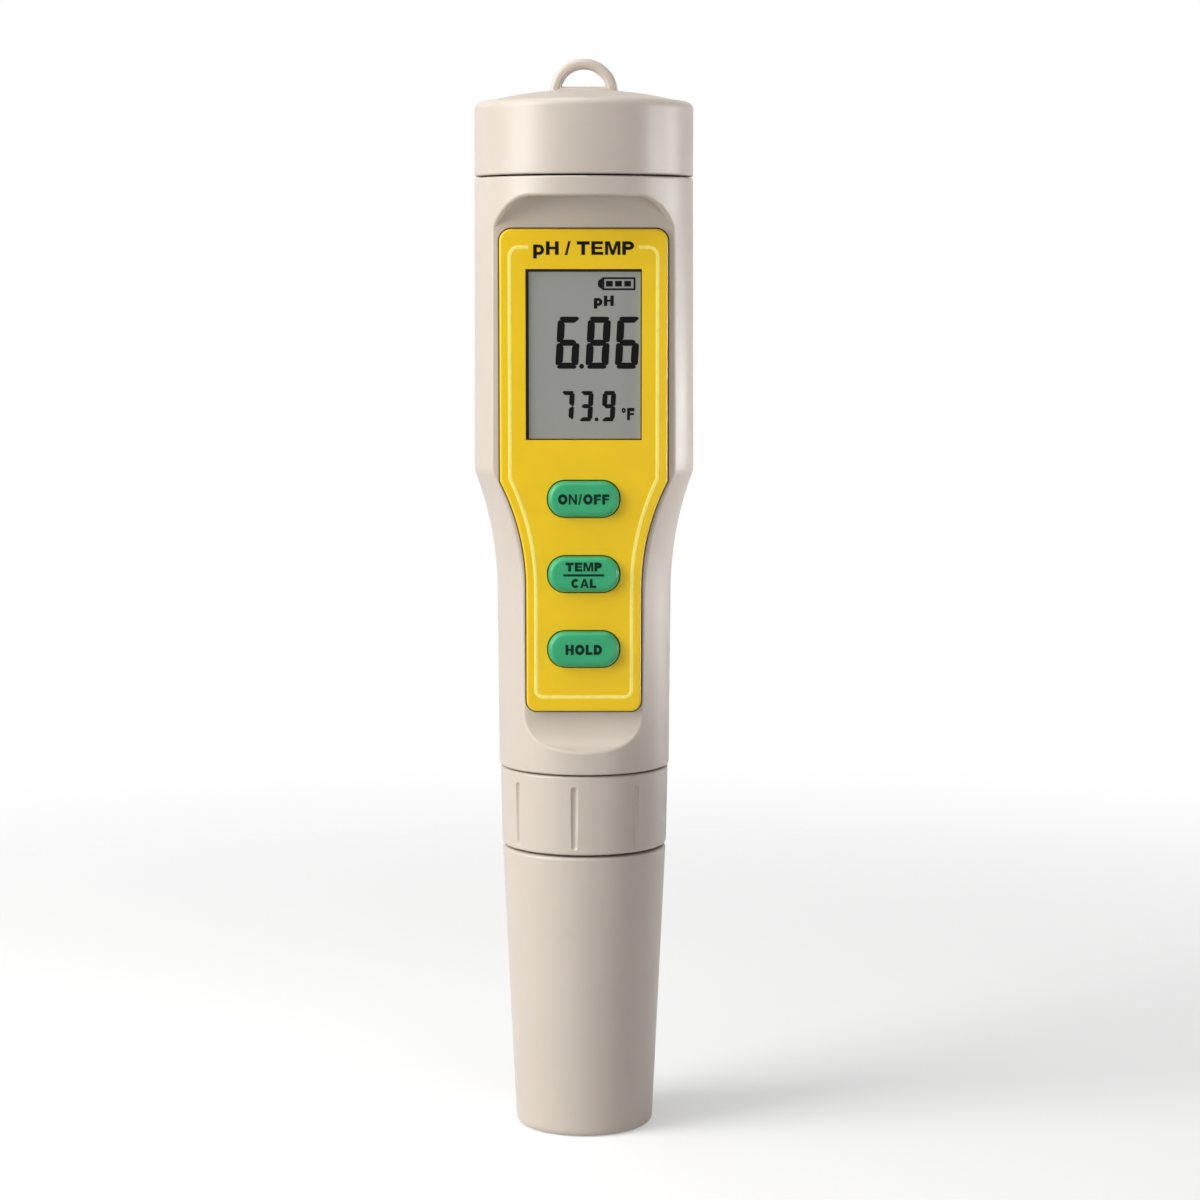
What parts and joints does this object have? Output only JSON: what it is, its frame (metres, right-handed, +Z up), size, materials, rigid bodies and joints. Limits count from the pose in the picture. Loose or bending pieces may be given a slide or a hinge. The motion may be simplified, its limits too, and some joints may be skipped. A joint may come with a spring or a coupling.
{
  "type": "digital ph meter",
  "caption": "Pen-type digital pH and temperature meter with a yellow faceplate, LCD, green keys, screw battery cap with lanyard eye, union collar and storage cap.",
  "frame": {"origin": "centre of the storage cap's flat base", "axes": "+Z up the meter's axis to the lanyard eye, the display faces -Y, +X to the reader's right"},
  "size_m": [0.0384, 0.0382, 0.188],
  "materials": {
    "body_plastic": "fine satin texture",
    "faceplate_yellow": "satin",
    "key_green": "satin",
    "window_clear": "clear",
    "lcd_grey": "matte film",
    "reflector_film": "silvered film",
    "frame_black": "matte",
    "inner_white": "matte",
    "seal_rubber": "matte",
    "silicone": "matte",
    "sponge": "porous",
    "board_green": "solder mask",
    "chip_black": "moulded epoxy",
    "steel": "brushed",
    "nickel": "polished",
    "gold_contact": "plated",
    "electrode_epoxy": "gloss",
    "electrode_glass": "clear",
    "ceramic_white": "porous",
    "silver": "satin"
  },
  "bodies": {
    "storage_cap": {"storage_cap": "body_plastic", "cap_seal": "silicone", "storage_sponge": "sponge"},
    "electrode": {"electrode_carrier": "body_plastic", "electrode_tube": "electrode_epoxy", "glass_electrode": "electrode_glass", "reference_junction": "ceramic_white", "bulb_guard": "electrode_epoxy", "temperature_probe": "steel", "silver_wire": "silver", "reference_wire": "silver", "pin_header": "frame_black", "connector_pins": "gold_contact", "carrier_o_ring": "seal_rubber"},
    "collar": {"collar_nut": "body_plastic"},
    "housing": {"housing_shell": "body_plastic", "neck_ring": "body_plastic", "faceplate": "faceplate_yellow", "lcd_window": "window_clear", "lcd_glass": "lcd_grey", "lcd_reflector": "reflector_film", "lcd_frame": "frame_black", "zebra_strips": "silicone", "main_pcb": "board_green", "microcontroller": "chip_black", "crystal": "nickel", "chip_capacitors": "ceramic_white", "switch_power": "frame_black", "switch_cal": "frame_black", "switch_hold": "frame_black", "keypad_seal": "silicone", "chassis": "inner_white", "pcb_screws": "steel", "socket_connector": "frame_black", "battery_holder": "inner_white", "button_cell_1": "nickel", "button_cell_2": "nickel", "button_cell_3": "nickel", "button_cell_4": "nickel", "battery_spring": "steel", "negative_contact": "nickel", "positive_contact": "nickel", "neck_o_ring": "seal_rubber"},
    "key_power": {"key_power": "key_green", "plunger_power": "inner_white"},
    "key_cal": {"key_cal": "key_green", "plunger_cal": "inner_white"},
    "key_hold": {"key_hold": "key_green", "plunger_hold": "inner_white"},
    "cap_contact": {"contact_plate": "nickel", "contact_stud": "steel"},
    "battery_cap": {"battery_cap": "body_plastic"}
  },
  "joints": [
    {"name": "meter_lift", "type": "slide", "parent": "storage_cap", "child": "electrode", "axis": [0, 0, 1], "range_m": [0, 0.06]},
    {"name": "collar_turn", "type": "hinge", "parent": "electrode", "child": "collar", "pos_m": [0, 0, 0.0576], "axis": [0, 0, 1], "range_deg": [-900, 0]},
    {"name": "housing_lift", "type": "slide", "parent": "electrode", "child": "housing", "axis": [0, 0, 1], "range_m": [0, 0.00751]},
    {"name": "battery_cap_lift", "type": "slide", "parent": "housing", "child": "cap_contact", "axis": [0, 0, 1], "range_m": [0, 0.00751]},
    {"name": "battery_cap_turn", "type": "hinge", "parent": "cap_contact", "child": "battery_cap", "pos_m": [0, 0, 0.175], "axis": [0, 0, 1], "range_deg": [0, 900]},
    {"name": "press_power", "type": "slide", "parent": "housing", "child": "key_power", "axis": [0, 1, 0], "range_m": [0, 0.0004], "stiffness_N_per_m": 600, "springref_m": -0.0005},
    {"name": "press_cal", "type": "slide", "parent": "housing", "child": "key_cal", "axis": [0, 1, 0], "range_m": [0, 0.0004], "stiffness_N_per_m": 600, "springref_m": -0.0005},
    {"name": "press_hold", "type": "slide", "parent": "housing", "child": "key_hold", "axis": [0, 1, 0], "range_m": [0, 0.0004], "stiffness_N_per_m": 600, "springref_m": -0.0005}
  ],
  "couplings": [
    {"joint": "housing_lift", "follows": "collar_turn", "m_per_rad": -0.00047746},
    {"joint": "battery_cap_lift", "follows": "battery_cap_turn", "m_per_rad": 0.00047746}
  ]
}
